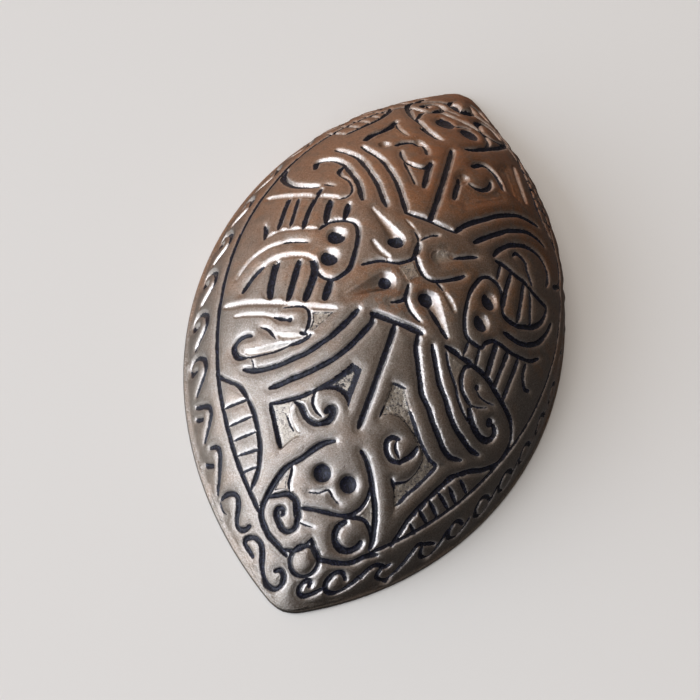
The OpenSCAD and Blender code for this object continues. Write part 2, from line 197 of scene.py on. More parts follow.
nearLeft = [
    ("main", [(-2.1, -5.8), (-2.0, -6.5), (-2.2, -7.2), (-2.7, -8.4), (-3.3, -9.6), (-4.1, -10.8),
        (-5.1, -11.8), (-6.0, -12.6), (-7.0, -13.3), (-7.8, -13.9), (-8.5, -14.3)]),
    ("main", [(-3.55, -5.7), (-3.9, -6.6), (-4.4, -7.7), (-5.0, -8.8), (-5.7, -9.7), (-6.5, -10.7),
        (-7.5, -11.5), (-8.4, -12.2), (-9.4, -12.65), (-10.3, -12.9), (-11.3, -12.8)]),
    ("main", [(-11.8, -9.7), (-12.2, -9.7), (-12.7, -10.1), (-12.85, -10.7), (-12.6, -11.3),
        (-12.1, -11.75), (-11.5, -11.75)]),
    ("fine", [(-11.7, -11.75), (-11.0, -11.65), (-10.3, -11.45), (-9.3, -11.05), (-8.2, -10.3)]),
    ("slim", [(-8.4, -10.4), (-7.5, -9.9), (-7.0, -9.4), (-6.8, -9.0)]),
    ("hair", [(-11.0, -11.85), (-10.7, -12.3), (-10.5, -12.7)]),
    ("main", [(-7.65, -9.05), (-7.2, -9.05)]),
    ("fine", [(-11.3, -8.85), (-10.6, -9.05), (-10.1, -9.45), (-9.6, -9.9)]),
    ("dent", [(-13.8, -7.75), (-13.0, -7.65), (-11.6, -7.65), (-10.2, -7.9)]),
    ("slim", [(-10.4, -7.85), (-9.8, -7.95), (-9.1, -8.0)]),
    ("valley", [(-5.6, -6.2), (-7.5, -6.45), (-10.0, -6.5), (-12.6, -6.5), (-14.9, -6.6)]),
    ("fine", [(-10.0, -6.85), (-9.2, -6.6), (-8.4, -6.5), (-7.9, -6.7), (-7.6, -7.1), (-7.35, -7.8),
        (-7.3, -8.5), (-7.45, -9.0)]),
    ("broad", [(-12.0, -2.0), (-11.9, -3.5), (-11.7, -5.0), (-11.45, -5.9)]),
    ("main", [(-10.15, -1.8), (-10.0, -4.0), (-9.85, -6.0)]),
    ("broad", [(-9.05, -1.6), (-8.75, -2.1), (-8.45, -2.9), (-8.4, -4.0), (-8.4, -5.8)]),
    ("broad", [(-6.85, -3.5), (-6.75, -5.4)]),
    ("slim", [(-4.6, -1.15), (-3.9, -0.65), (-3.2, -0.25), (-2.5, -0.05), (-1.9, -0.05)]),
    ("slim", [(0.1, -2.9), (0.0, -3.4), (-0.4, -3.75), (-0.9, -4.0)]),
    ("fine", [(-4.55, -14.0), (-4.5, -14.7), (-4.2, -15.2), (-3.7, -15.6), (-3.2, -15.8)]),
    ("broad", [(-2.95, -15.3), (-2.8, -14.95), (-2.45, -15.0), (-2.35, -15.6), (-2.6, -16.1),
        (-3.1, -16.4)]),
    ("main", [(-2.8, -16.3), (-3.4, -16.5), (-3.9, -16.45), (-4.5, -16.2), (-5.0, -15.75), (-5.4, -15.35),
        (-5.9, -15.2)]),
    ("slim", [(-13.5, -13.0), (-12.8, -13.5), (-12.0, -13.9), (-11.3, -14.2), (-10.7, -14.7),
        (-10.1, -15.3)]),
    ("slim", [(-10.0, -15.4), (-9.1, -16.5), (-8.3, -17.7), (-7.6, -18.9), (-7.1, -20.1), (-6.8, -21.3),
        (-6.8, -22.6)]),
    ("fine", [(-11.8, -16.2), (-10.0, -15.4)]),
    ("fine", [(-10.8, -17.7), (-9.1, -16.8)]),
    ("fine", [(-9.9, -18.9), (-8.2, -18.0)]),
    ("fine", [(-9.1, -20.1), (-7.4, -19.4)]),
    ("fine", [(-8.3, -21.5), (-6.9, -20.7)]),
    ("slim", [(-7.95, -15.65), (-7.4, -16.5), (-6.75, -17.5), (-6.2, -18.35), (-5.75, -19.0)]),
    ("slim", [(-7.95, -15.6), (-7.2, -15.4), (-6.4, -15.0), (-5.6, -14.6), (-5.1, -14.2), (-4.7, -13.9)]),
    ("hair", [(-6.2, -16.4), (-5.75, -16.95), (-5.2, -17.5)]),
    ("valley", [(-6.0, -15.3), (-6.1, -16.2), (-5.6, -16.95), (-4.9, -17.5)]),
    ("main", [(-1.3, -17.4), (-2.1, -17.8), (-2.8, -18.5), (-3.5, -19.4), (-4.0, -19.9), (-4.6, -20.6),
        (-5.0, -21.7), (-5.2, -22.7), (-5.3, -23.8), (-5.0, -24.6), (-4.4, -25.3), (-3.7, -25.9),
        (-2.9, -26.35), (-2.2, -26.7), (-1.6, -27.0)]),
    ("slim", [(-2.2, -26.6), (-1.4, -26.5), (-0.8, -26.25), (-0.35, -25.8), (-0.1, -25.3)]),
    ("fine", [(-2.85, -22.85), (-2.45, -23.4), (-2.2, -24.0)]),
    ("fine", [(-4.1, -20.1), (-3.9, -20.9), (-3.8, -21.6), (-3.45, -22.2)]),
    ("main", [(-5.0, -22.95), (-4.25, -22.65), (-3.55, -22.42), (-2.85, -22.65), (-2.35, -23.1),
        (-1.95, -23.75), (-1.8, -24.35), (-1.87, -24.9), (-2.35, -25.2), (-2.9, -25.08), (-3.4, -24.65),
        (-3.78, -24.2), (-3.9, -23.85), (-3.75, -23.6), (-3.45, -23.65), (-3.25, -23.95), (-3.35, -24.1)]),
]
farLeft = [
    ("main", [(-2.4, 6.2), (-2.9, 7.3), (-3.4, 8.3), (-4.1, 9.7), (-4.9, 10.9), (-5.8, 12.1), (-6.6, 12.9),
        (-7.6, 13.6), (-8.2, 14.2)]),
    ("main", [(-4.3, 6.2), (-5.0, 7.4), (-5.8, 8.9), (-6.6, 10.1), (-7.4, 11.2), (-8.2, 12.2), (-9.1, 12.8),
        (-10.4, 13.4)]),
    ("main", [(-6.6, 6.4), (-6.9, 7.0), (-7.15, 7.8), (-7.7, 8.8), (-8.4, 9.8), (-9.3, 11.0), (-10.3, 11.6),
        (-11.2, 11.5), (-11.7, 11.1), (-11.7, 10.3)]),
    ("slim", [(-9.2, 10.8), (-9.5, 9.8), (-9.2, 9.2)]),
    ("main", [(-14.1, 10.5), (-14.2, 9.3), (-13.7, 8.3), (-12.8, 7.6), (-11.7, 7.45), (-10.9, 7.5)]),
    ("fine", [(-10.4, 7.85), (-9.5, 7.75)]),
    ("hair", [(-9.2, 9.2), (-8.3, 8.6), (-7.8, 7.6), (-7.8, 6.8)]),
    ("fine", [(-7.8, 6.8), (-8.2, 6.25), (-8.8, 6.05)]),
    ("valley", [(-8.5, 6.05), (-10.8, 6.1), (-14.8, 6.15)]),
    ("slim", [(-12.95, 5.9), (-13.0, 4.0), (-12.95, 1.8)]),
    ("fine", [(-12.15, 5.9), (-12.0, 2.0)]),
    ("slim", [(-10.5, 7.2), (-10.7, 6.0), (-10.9, 4.0), (-10.85, 1.9)]),
    ("main", [(-9.35, 5.8), (-9.25, 4.0), (-9.1, 2.9)]),
    ("fine", [(-9.1, 2.9), (-9.4, 2.1)]),
    ("main", [(-7.65, 5.5), (-7.6, 3.7)]),
    ("slim", [(-14.2, 2.4), (-13.9, 1.5), (-13.8, 0.7)]),
    ("main", [(-0.35, 1.4), (-0.3, 2.2), (-0.35, 3.1)]),
    ("fine", [(-0.35, 3.1), (-0.6, 3.7), (-1.0, 4.2)]),
    ("dent", [(-1.1, 4.4), (-1.5, 4.7), (-2.2, 5.2)]),
    ("valley", [(-4.4, 1.6), (-3.9, 1.1), (-3.3, 0.65), (-2.6, 0.4)]),
    ("slim", [(-2.3, 0.0), (-1.6, 0.1), (-1.0, 0.5), (-0.5, 1.0), (-0.25, 1.6)]),
    ("main", [(-5.2, 15.3), (-4.7, 15.9), (-4.0, 16.3), (-3.4, 16.5), (-2.8, 16.4), (-2.4, 15.9),
        (-2.2, 15.2)]),
    ("main", [(-1.5, 14.1), (-1.7, 13.3), (-2.2, 12.8), (-3.1, 12.7), (-3.9, 13.0)]),
    ("slim", [(-3.9, 13.0), (-4.4, 13.7), (-4.6, 14.5)]),
    ("main", [(-1.6, 14.0), (-1.6, 12.0), (-1.55, 10.1)]),
    ("fine", [(-4.0, 12.9), (-3.3, 11.7), (-2.4, 10.2)]),
    ("broad", [(-5.9, 19.8), (-6.2, 18.6), (-6.9, 17.4), (-7.6, 16.5), (-8.1, 15.4)]),
    ("fine", [(-5.8, 19.4), (-5.5, 18.6), (-4.9, 17.9), (-4.5, 17.6)]),
    ("broad", [(-3.3, 19.5), (-2.6, 18.9), (-1.8, 18.4)]),
]
farRight = [
    ("main", [(2.6, 6.1), (3.0, 7.0), (3.5, 7.8), (4.2, 8.7), (5.0, 9.6), (5.8, 10.7), (6.6, 11.6),
        (7.6, 12.6), (8.6, 13.2), (9.6, 13.6), (10.4, 13.9)]),
    ("main", [(4.6, 6.0), (5.2, 6.9), (5.9, 7.9), (6.6, 8.8), (7.3, 9.8), (8.1, 10.6), (9.0, 11.4),
        (9.8, 11.8), (10.6, 12.0), (11.6, 12.0)]),
    ("main", [(6.8, 5.8), (7.0, 6.6), (7.4, 7.4), (8.0, 8.3), (8.7, 9.0), (9.7, 9.7), (10.8, 10.0),
        (11.8, 9.8), (12.6, 9.0), (12.9, 8.2), (12.9, 7.5)]),
    ("slim", [(8.6, 7.3), (8.9, 7.9), (10.0, 7.7), (10.4, 7.0), (11.4, 5.9)]),
    ("main", [(7.2, 5.4), (8.3, 5.5), (9.5, 5.4), (10.5, 5.5), (12.0, 5.2), (13.6, 5.3)]),
    ("slim", [(7.7, 5.3), (7.8, 3.6)]),
    ("main", [(8.95, 5.2), (9.0, 3.0), (9.2, 1.0)]),
    ("main", [(10.5, 5.2), (10.8, 3.0), (11.05, 1.0)]),
    ("slim", [(11.4, 5.0), (12.0, 3.0), (12.4, 1.7)]),
    ("fine", [(-0.2, 3.5), (0.1, 3.95), (0.5, 4.35)]),
    ("slim", [(0.5, 4.4), (1.15, 4.8)]),
    ("slim", [(-0.2, 1.6), (0.05, 1.0), (0.5, 0.35), (1.0, -0.15), (1.6, -0.35), (2.2, -0.25), (2.8, 0.1),
        (3.6, 0.7), (4.2, 1.2), (4.7, 1.8)]),
    ("slim", [(3.3, 3.1), (4.2, 3.75), (5.3, 4.55)]),
    ("valley", [(6.5, 20.2), (7.1, 18.6), (7.8, 17.2), (8.5, 15.8)]),
    ("main", [(2.6, 13.2), (3.4, 13.0), (4.1, 13.5), (4.5, 14.3), (4.5, 15.1)]),
    ("broad", [(2.4, 16.0), (2.9, 16.8), (3.6, 17.2), (4.5, 16.8), (5.2, 16.1), (5.8, 15.2)]),
    ("main", [(1.55, 13.5), (1.5, 12.0), (1.5, 10.1)]),
]
middleLines = [
    ("broad", [(-2.2, -5.7), (0.2, -5.72), (2.7, -5.7)]),
    ("main", [(0.12, -6.0), (0.2, -10.0), (0.28, -15.7)]),
    ("main", [(-2.4, 6.1), (-0.1, 6.1), (1.5, 6.0), (2.6, 6.1)]),
    ("main", [(0.0, 6.2), (0.05, 12.0), (0.05, 17.3)]),
]
tipHairs = [
    ("hair", [(-1.8, -21.85), (-0.95, -21.65), (-0.2, -21.2), (0.4, -21.6), (1.1, -21.9)]),
    ("hair", [(-1.85, -24.2), (-1.0, -24.3), (-0.3, -24.25)]),
]
leftHead = [
    ("slim", [(-9.4, 2.0), (-8.9, 2.8), (-8.0, 3.3), (-6.9, 3.4), (-6.3, 3.0), (-5.9, 2.0), (-5.7, 0.8),
        (-5.6, -0.7), (-5.6, -1.9), (-6.05, -2.7), (-6.6, -3.3), (-7.2, -3.4), (-7.8, -3.2), (-8.3, -2.7)]),
    ("valley", [(-9.0, -1.5), (-9.8, -1.3), (-10.8, -1.3), (-11.8, -1.55), (-12.6, -2.05), (-13.1, -2.8)]),
    ("main", [(-13.0, -2.6), (-13.4, -3.4), (-13.7, -4.3), (-13.9, -5.2)]),
    ("fine", [(-10.0, 0.35), (-10.9, 0.3), (-11.7, 0.2), (-12.2, 0.05)]),
    ("dent", [(-11.2, 0.25), (-12.4, 0.0), (-13.3, -0.5), (-14.1, -1.4), (-14.6, -2.5), (-14.9, -3.8)]),
    ("dent", [(-9.6, 2.0), (-10.8, 1.85), (-12.2, 1.65), (-13.0, 1.45), (-13.8, 0.6)]),
]
rightHead = [
    ("slim", [(9.3, 0.8), (9.0, 1.4), (8.8, 2.2), (8.3, 2.8), (7.7, 3.1), (6.9, 3.1), (6.2, 2.4),
        (5.7, 0.5), (5.8, -1.3), (6.05, -2.5), (6.5, -3.55), (7.1, -4.0), (8.4, -4.0), (8.7, -3.3),
        (9.3, -2.6), (10.0, -2.4), (11.4, -2.3), (12.6, -1.9), (13.7, -1.2), (14.4, -0.2)]),
    ("main", [(10.1, -1.05), (11.5, -0.9), (12.4, -0.5), (13.1, 0.1), (13.7, 0.9), (14.1, 1.8), (14.4, 3.0),
        (14.6, 4.3)]),
    ("main", [(13.65, 5.0), (13.55, 3.5), (12.9, 2.1), (12.0, 1.2), (11.2, 0.6), (10.4, 0.4), (9.7, 0.4),
        (9.3, 0.8)]),
]

# Border scrolls: (way along the rim, share of the way across)
border = {
    "leftPitch": 4.9,
    "leftFrom": -15.0,
    "leftTo": 33.0,
    "rightPitch": 3.8,
    "rightFrom": -16.5,
    "rightTo": 33.5,
}
leftScroll = [(0, 0.42), (0.5, 0.56), (1.1, 0.68), (1.9, 0.75), (2.8, 0.72), (3.4, 0.61), (3.8, 0.46),
              (3.9, 0.3), (3.5, 0.2), (2.9, 0.23), (2.5, 0.34), (2.4, 0.48)]
rightScroll = [(2.3, 0.48), (1.8, 0.62), (1.1, 0.7), (0.4, 0.67), (0, 0.55), (0.2, 0.4), (0.8, 0.28),
               (1.5, 0.25), (2.2, 0.35), (2.8, 0.48), (3.4, 0.6)]
tipScrolls = [
    [(-4.65, -27.45), (-5.2, -27.0), (-5.75, -26.55), (-5.75, -26.25), (-5.2, -26.15), (-4.7, -26.3),
     (-4.2, -26.65), (-3.9, -27.15), (-3.7, -27.65), (-3.45, -28.25), (-3.05, -28.8), (-2.55, -29.25),
     (-2.0, -29.55), (-1.6, -29.6), (-1.2, -29.35), (-1.1, -28.9), (-1.3, -28.4), (-1.7, -28.15),
     (-2.1, -28.3)],
    [(1.5, -28.5), (1.4, -28.2), (1.1, -28.2), (0.8, -28.5), (0.65, -28.95), (0.8, -29.3), (1.2, -29.4),
     (1.7, -29.2), (2.2, -28.8), (2.7, -28.3)],
]
leftTipScrolls = [
    [(-30.0, 0.7), (-29.8, 0.58), (-29.4, 0.47), (-28.9, 0.42), (-28.5, 0.46), (-28.1, 0.57), (-27.7, 0.68),
     (-27.1, 0.74), (-26.5, 0.7), (-26.0, 0.59), (-25.7, 0.45), (-25.6, 0.33)],
    [(-24.9, 0.28), (-24.5, 0.38), (-24.0, 0.5), (-23.4, 0.6), (-22.5, 0.71), (-21.8, 0.72), (-21.3, 0.66),
     (-20.9, 0.54)],
    [(-22.5, 0.45), (-22.1, 0.33), (-21.7, 0.24)],
    [(-19.8, 0.42), (-19.3, 0.55), (-18.7, 0.66), (-18.0, 0.74), (-17.3, 0.72), (-16.8, 0.62),
     (-16.4, 0.48), (-16.0, 0.34)],
    [(-17.7, 0.48), (-17.4, 0.36), (-17.1, 0.28)],
]
lipLine = [(-25.6, 0.33), (-25.7, 0.25), (-26.1, 0.21), (-26.7, 0.22), (-27.2, 0.3)]
rightTipScrolls = [
    [(-31.9, 0.64), (-32.3, 0.77), (-32.8, 0.84), (-33.4, 0.84), (-33.9, 0.75), (-33.9, 0.6), (-33.5, 0.46),
     (-32.9, 0.36), (-32.2, 0.34), (-31.4, 0.42), (-30.7, 0.53), (-30.2, 0.64), (-29.6, 0.72),
     (-28.9, 0.73), (-28.3, 0.67), (-27.8, 0.6), (-27.2, 0.6)],
    [(-28.2, 0.6), (-28.5, 0.5), (-28.4, 0.4), (-28.0, 0.3), (-27.4, 0.22), (-26.8, 0.25), (-26.2, 0.36),
     (-25.4, 0.5), (-24.8, 0.62), (-24.1, 0.72), (-23.4, 0.66), (-22.6, 0.59), (-21.9, 0.5)],
    [(-23.6, 0.58), (-23.6, 0.45), (-23.1, 0.31), (-22.3, 0.24), (-21.5, 0.35), (-20.9, 0.5),
     (-20.4, 0.62)],
    [(-18.2, 0.48), (-18.7, 0.61), (-19.3, 0.69), (-19.9, 0.66), (-20.2, 0.54), (-20.0, 0.4), (-19.4, 0.29),
     (-18.7, 0.26), (-18.0, 0.36), (-17.4, 0.5)],
]

# Round and tapered pits: start, end, radius at each, depth at each, and how far in from its lit side a pit is
# kept clear of patina, leaving the patina as painted shade on the other side; 1 is an open hollow of clean
# metal
pits = [
    ((-1.35, -20.15), (-1.35, -20.2), 0.92, 0.92, 0.62, 0.62, 0.05),
    ((1.25, -20.25), (1.25, -20.3), 0.90, 0.90, 0.62, 0.62, 0.05),
    ((-1.35, 21.8), (-1.35, 21.85), 1.05, 1.05, 0.42, 0.42, 0.05),
    ((1.25, 21.5), (1.25, 21.55), 1.05, 1.05, 0.42, 0.42, 0.05),
    ((-7.74, 1.32), (-7.74, 1.37), 0.96, 0.96, 0.64, 0.64, 0.23),
    ((-7.69, -1.13), (-7.69, -1.18), 0.96, 0.96, 0.64, 0.64, 0.23),
    ((7.65, -1.75), (7.65, -1.8), 0.92, 0.92, 0.62, 0.62, 0.22),
    ((7.7, 0.7), (7.7, 0.75), 0.92, 0.92, 0.62, 0.62, 0.22),
    ((11.75, -9.2), (11.75, -9.25), 0.55, 0.55, 0.4, 0.4, 0.05),
    ((9.4, -7.4), (9.4, -7.45), 0.38, 0.38, 0.3, 0.3, 0.05),
    ((-9.1, -7.95), (-9.1, -8.0), 0.34, 0.34, 0.3, 0.3, 0.05),
    ((2.35, -2.4), (5.1, -4.9), 1.0, 0.24, 0.90, 0.28, 1),
    ((-2.15, -2.3), (-5.0, -4.6), 1.1, 0.40, 0.95, 0.16, 1),
    ((-2.45, 2.5), (-5.5, 5.4), 0.95, 0.24, 0.85, 0.30, 1),
    ((1.95, -2.45), (2.0, -2.5), 0.84, 0.84, 0.95, 0.95, 0.05),
    ((-2.15, -2.3), (-2.15, -2.35), 0.70, 0.70, 0.95, 0.95, 0.05),
    ((-2.5, 2.25), (-2.45, 2.3), 0.84, 0.84, 0.95, 0.95, 0.05),
    ((1.8, 2.3), (3.4, 3.3), 0.95, 0.35, 0.55, 0.30, 1),
    ((-3.3, 16.4), (-3.25, 16.45), 0.72, 0.72, 0.62, 0.62, 1),
    ((-6.35, 14.95), (-6.3, 15.0), 0.70, 0.70, 0.60, 0.60, 1),
    ((1.65, 13.0), (1.85, 13.6), 0.72, 0.62, 0.75, 0.65, 1),
]

# Sunken panels: depth, how grainy the floor is, how much patina lies along its walls, fall of the floor along
# x and y (a floor that falls more gets a stronger painted highlight), outline
nearPanels = [
    (0.42, 1.0, 0.2, (0, 0), [
        (1.6, -10.85), (3.1, -10.85), (3.7, -11.7), (4.5, -12.6), (5.5, -13.6), (6.4, -14.4), (7.4, -14.95),
        (8.2, -15.2), (8.9, -15.05), (8.3, -16.3), (7.75, -17.4), (6.9, -18.8), (6.15, -20.5), (5.4, -19.2),
        (4.7, -18.4), (5.6, -18.3), (6.3, -17.7), (6.75, -16.8), (6.95, -15.75), (6.6, -15.25),
        (6.0, -14.85), (5.4, -14.45), (4.6, -14.0), (3.55, -13.65), (2.6, -13.7), (1.7, -14.3)]),
    (0.42, 1.0, 1.3, (0, 0), [
        (-2.4, -10.55), (-1.25, -10.85), (-1.25, -14.6), (-1.7, -13.95), (-2.3, -13.55), (-3.0, -13.4),
        (-3.7, -13.55), (-4.3, -13.85), (-4.6, -14.3), (-5.2, -14.0), (-4.3, -13.05), (-3.6, -12.35),
        (-3.0, -11.55)]),
    (0.4, 0.6, 0.0, (0.05, -0.1), [
        (-8.1, -15.5), (-7.0, -15.2), (-6.2, -14.85), (-5.6, -14.3), (-5.2, -14.1), (-4.75, -14.4),
        (-4.6, -14.9), (-5.0, -15.1), (-6.0, -15.15), (-6.2, -15.4), (-6.0, -16.2), (-5.6, -16.9),
        (-4.9, -17.4), (-4.2, -17.65), (-5.0, -18.3), (-5.7, -19.4), (-6.3, -18.7), (-7.05, -17.5),
        (-7.7, -16.4)]),
    (0.38, 0.2, 0.0, (0.24, -0.68), [
        (-12.0, -10.9), (-11.0, -10.7), (-10.3, -10.4), (-9.5, -10.1), (-8.6, -9.9), (-7.7, -9.8),
        (-8.5, -10.55), (-9.6, -11.1), (-10.7, -11.45), (-11.6, -11.6), (-12.0, -11.3)]),
    (0.3, 0.2, 0.0, (0.06, -0.6), [
        (-10.2, -9.15), (-9.5, -9.0), (-8.5, -8.95), (-7.2, -8.9), (-7.2, -9.3), (-7.6, -9.6), (-8.4, -9.8),
        (-9.3, -9.9), (-9.8, -9.6)]),
    (0.28, 0.8, 0.2, (0.0, 0.06), [
        (-7.7, -6.75), (-5.3, -6.2), (-6.0, -7.5), (-6.5, -8.5), (-7.0, -8.9), (-7.3, -8.6), (-7.3, -7.7)]),
    (0.2, 0.5, 0.0, (0, 0), [
        (5.4, -6.15), (7.75, -6.3), (7.5, -7.4), (7.65, -8.3), (8.2, -9.0), (8.0, -9.4), (6.6, -7.8)]),
    (0.3, 0.6, 0.0, (0, 0), [
        (3.5, -19.8), (4.1, -20.6), (4.6, -21.5), (5.0, -22.5), (4.9, -22.8), (4.3, -22.3), (3.7, -22.1),
        (3.0, -22.3), (3.4, -21.6), (3.5, -20.7)]),
    (0.22, 0.1, 0.2, (0, 0), [
        (-4.25, -20.4), (-4.0, -21.0), (-3.9, -21.7), (-3.7, -22.2), (-4.4, -22.4), (-5.1, -22.7),
        (-4.95, -21.7), (-4.6, -20.9)]),
    (0.16, 0.9, 0.0, (0, 0), [
        (-0.3, 1.2), (0.1, 0.5), (0.7, -0.1), (1.0, -0.4), (0.5, -0.75), (0.1, -1.3), (-0.3, -1.3),
        (-0.9, -0.7), (-1.6, -0.2), (-0.9, 0.4)]),
    (0.2, 0.55, 0.0, (0.05, 0.05), [
        (1.1, 2.6), (1.3, 1.9), (1.8, 1.5), (2.3, 2.0), (3.1, 2.5), (3.6, 3.1), (2.9, 3.3), (2.3, 3.8),
        (1.6, 3.4)]),
]
farPanels = [
    (0.22, 0.3, 0.0, (0, 0), [
        (-1.7, 10.1), (-2.5, 10.1), (-3.3, 11.5), (-4.1, 12.9), (-3.3, 12.5), (-2.2, 12.6), (-1.7, 13.1)]),
    (0.22, 0.3, 0.0, (0, 0), [
        (1.6, 10.2), (2.8, 9.9), (3.8, 11.2), (5.2, 12.7), (6.2, 14.0), (5.6, 14.9), (4.9, 14.2),
        (4.3, 13.3), (3.4, 12.8), (2.4, 12.9), (1.7, 13.0)]),
    (0.22, 0.3, 0.0, (0, 0), [
        (-5.8, 19.2), (-6.5, 17.9), (-7.3, 16.7), (-7.9, 15.7), (-6.9, 15.5), (-5.8, 16.2), (-5.0, 17.3),
        (-5.4, 18.3)]),
    (0.26, 0.3, 0.0, (0, 0), [
        (5.8, 19.5), (6.4, 18.3), (7.3, 16.6), (7.7, 15.4), (6.4, 15.7), (5.6, 17.0), (4.7, 18.2)]),
]

# A pellet stands proud at each tip, with a groove round it
pellet = {
    "places": [(0.08, -26.9), (0.0, 27.3)],
    "radius": 1.15,
    "rise": 0.42,
    "ringWider": 0.18,
    "ringLonger": 0.06,
}


# What the photo hides at the far tip is the near tip turned over
turned = {
    "tipFrom": -19.95,     # lines that reach farther than this
    "ladderFrom": -14.9,   # and lines that lie wholly past this and this far out
    "ladderSide": 7.9,
    "wingFrom": 6,         # and the wing's line, after this many of its points
}


def gatherLines():
    lines = nearRight + nearLeft + farLeft + farRight + middleLines + tipHairs + leftHead + rightHead
    for kind, points in nearRight + nearLeft:
        ladder = (max(y for x, y in points) < turned["ladderFrom"]
                  and min(abs(x) for x, y in points) > turned["ladderSide"])
        if ladder or min(y for x, y in points) < turned["tipFrom"]:
            lines.append((kind, toFarEnd(points)))
    lines += [(kind, toFarEnd(points)) for kind, points in tipHairs]
    lines.append(("main", toFarEnd(rightWing[turned["wingFrom"]:])))
    # the border line and its scrolls
    for side in (-1, 1):
        lines.append(("slim", [onBorder(s, 1, side) for s in range(-30, 31, 4)]))
    lines += [("scroll", points) for points in tipScrolls]
    lines += [("scroll", [onBorder(s, t, -1) for s, t in points]) for points in leftTipScrolls]
    lines.append(("fine", [onBorder(s, t, -1) for s, t in lipLine]))
    lines += [("scroll", [onBorder(s, t, 1) for s, t in points]) for points in rightTipScrolls]
    for side, unitScroll, start, stop, pitch in (
            (-1, leftScroll, border["leftFrom"], border["leftTo"], border["leftPitch"]),
            (1, rightScroll, border["rightFrom"], border["rightTo"], border["rightPitch"])):
        s = start
        while s < stop:
            lines.append(("scroll", [onBorder(s + a, t, side) for a, t in unitScroll]))
            s += pitch
    # rings round the two pellets
    wide = pellet["radius"] + pellet["ringWider"]
    tall = pellet["radius"] + pellet["ringLonger"]
    for x, y in pellet["places"]:
        turns = [math.radians(a) for a in range(0, 361, 30)]
        lines.append(("slim", [(x + wide * math.sin(a), y + tall * math.cos(a)) for a in turns]))
    return lines


def smoothStep(low, high, value):
    t = min(1.0, max(0.0, (value - low) / (high - low)))
    return t * t * (3 - 2 * t)


def treeOf(points):
    tree = kdtree.KDTree(len(points))
    for i, p in enumerate(points):
        tree.insert(p, i)
    tree.balance()
    return tree


samples = {
    "lineStep": 0.08,      # between two samples of a line, and of a panel's outline
    "edgeStep": 0.12,
    "taper": 0.7,          # a groove narrows over this length at each end
    "lineShift": 0.45,     # the part of its depth that a groove, or a pit, is moved for
    "pitShift": 0.4,
    "shiftTo": 26,         # nearer the tips than this, no line is moved
}
print("sampling the ornament")
strokes = []   # place on the skin, half width, depth, patina
for kind, points in gatherLines():
    half, deep, ends, dirt = lineKinds[kind]
    line = smoothLine(points, samples["lineStep"])
    reach = samples["taper"] / samples["lineStep"]
    for i, p in enumerate(line):
        share = min(1.0, ends + (1 - ends) * min(i, len(line) - 1 - i) / reach)
        spot = onSkin(p.x, p.y)
        if abs(p.y) < samples["shiftTo"]:
            spot = underView(p, samples["lineShift"] * deep * share)
        strokes.append((spot, half * share, deep * share, dirt))
lineTree = treeOf([row[0] for row in strokes])

panels = nearPanels + farPanels
outlines = [row[-1] for row in panels]
edgePoints = []
for outline in outlines:
    for i, corner in enumerate(outline):
        a, b = Vector(corner), Vector(outline[(i + 1) % len(outline)])
        steps = max(1, math.ceil((b - a).length / samples["edgeStep"]))
        edgePoints += [onSkin(*a.lerp(b, k / steps)) for k in range(steps)]
edgeTree = treeOf(edgePoints)
pitRows = []
for a, b, ra, rb, da, db, litSideClear in pits:
    start = underView(Vector(a), samples["pitShift"] * da)
    end = underView(Vector(b), samples["pitShift"] * db)
    pitRows.append((start, end, ra, rb, da, db, litSideClear))
print("line samples", len(strokes), "panel edge samples", len(edgePoints))


def inside(x, y, outline):
    odd = False
    for i in range(len(outline)):
        (x1, y1), (x2, y2) = outline[i - 1], outline[i]
        if (y1 > y) != (y2 > y) and x < (x2 - x1) * (y - y1) / (y2 - y1) + x1:
            odd = not odd
    return odd


def boxOf(outline):
    xs, ys = zip(*outline)
    return min(xs), max(xs), min(ys), max(ys)


panelBoxes = [boxOf(outline) for outline in outlines]


def panelAt(x, y):
    # the panel here: how deep and how grainy its floor is, how much patina lies by its wall, its painted
    # highlight
    for (x0, x1, y0, y1), (deep, grainy, dirt, fall, outline) in zip(panelBoxes, panels):
        if x0 < x < x1 and y0 < y < y1 and inside(x, y, outline):
            tilted = deep + fall[0] * (x - (x0 + x1) / 2) + fall[1] * (y - (y0 + y1) / 2)
            # a floor that leans towards the light gets a painted highlight
            return max(0.05, tilted), grainy, dirt, min(1.0, 2 * math.hypot(*fall))
    return 0.0, 0.0, 0.0, 0.0


# How the metal falls away into a groove
relief = {
    "wallRun": 0.30,       # width of a groove's wall
    "lean": 0.06,          # the wall that faces the light is wider, and the patina is moved off it onto the other wall as painted shade
    "leanFade": 0.35,      # this share of that is lost with each millimetre to the right, as far as leanLeast
    "leanLeast": -1.4,
    "dimmed": 0.6,         # and the painted highlights on the lit walls are this much dimmer there, but not by the near tip
    "panelWall": 0.26,
    "shoulder": 0.09,      # how far the strands round off beside a groove
    "shoulderReach": 0.24,
    "pillow": 0.05,        # and how far their whole width is rounded
    "pillowReach": 0.6,
    "wander": 0.14,        # how much a groove's width varies
    "unevenness": 0.06,    # hand-made waviness of the whole skin
    "roughFloor": 0.06,    # rise of the grains on a panel's floor
    "lip": 0.24,           # how far the plain rim stands out from the foot of the dome
    "lipBevel": 0.06,
    "blunt": 0.48,         # how much each tip is rounded off
    "farthest": 0.9,       # distances are followed no farther than this from a groove
    "pitReach": 5.0,
}


def pitsNear(p):
    # each pit at hand: distance beyond its edge, its radius and depth there, how far its lit side is kept
    # clear of patina, and the way from its middle out to p
    found = []
    for a, b, ra, rb, da, db, litSideClear in pitRows:
        if max(abs(p.x - a.x), abs(p.y - a.y)) > relief["pitReach"]:
            continue
        along = b - a
        t = min(1.0, max(0.0, (p - a).dot(along) / along.length_squared))
        radius = ra + (rb - ra) * t
        off = p - a - along * t
        found.append((off.length - radius, radius, da + (db - da) * t, litSideClear, off))
    return found


def wallGap(p):
    # distance from a place on the smooth skin to the nearest wall of the relief
    index, distance = lineTree.find(p)[1:]
    gap = min(abs(distance - strokes[index][1]), edgeTree.find(p)[2])
    return min([gap] + [abs(row[0]) for row in pitsNear(p)])
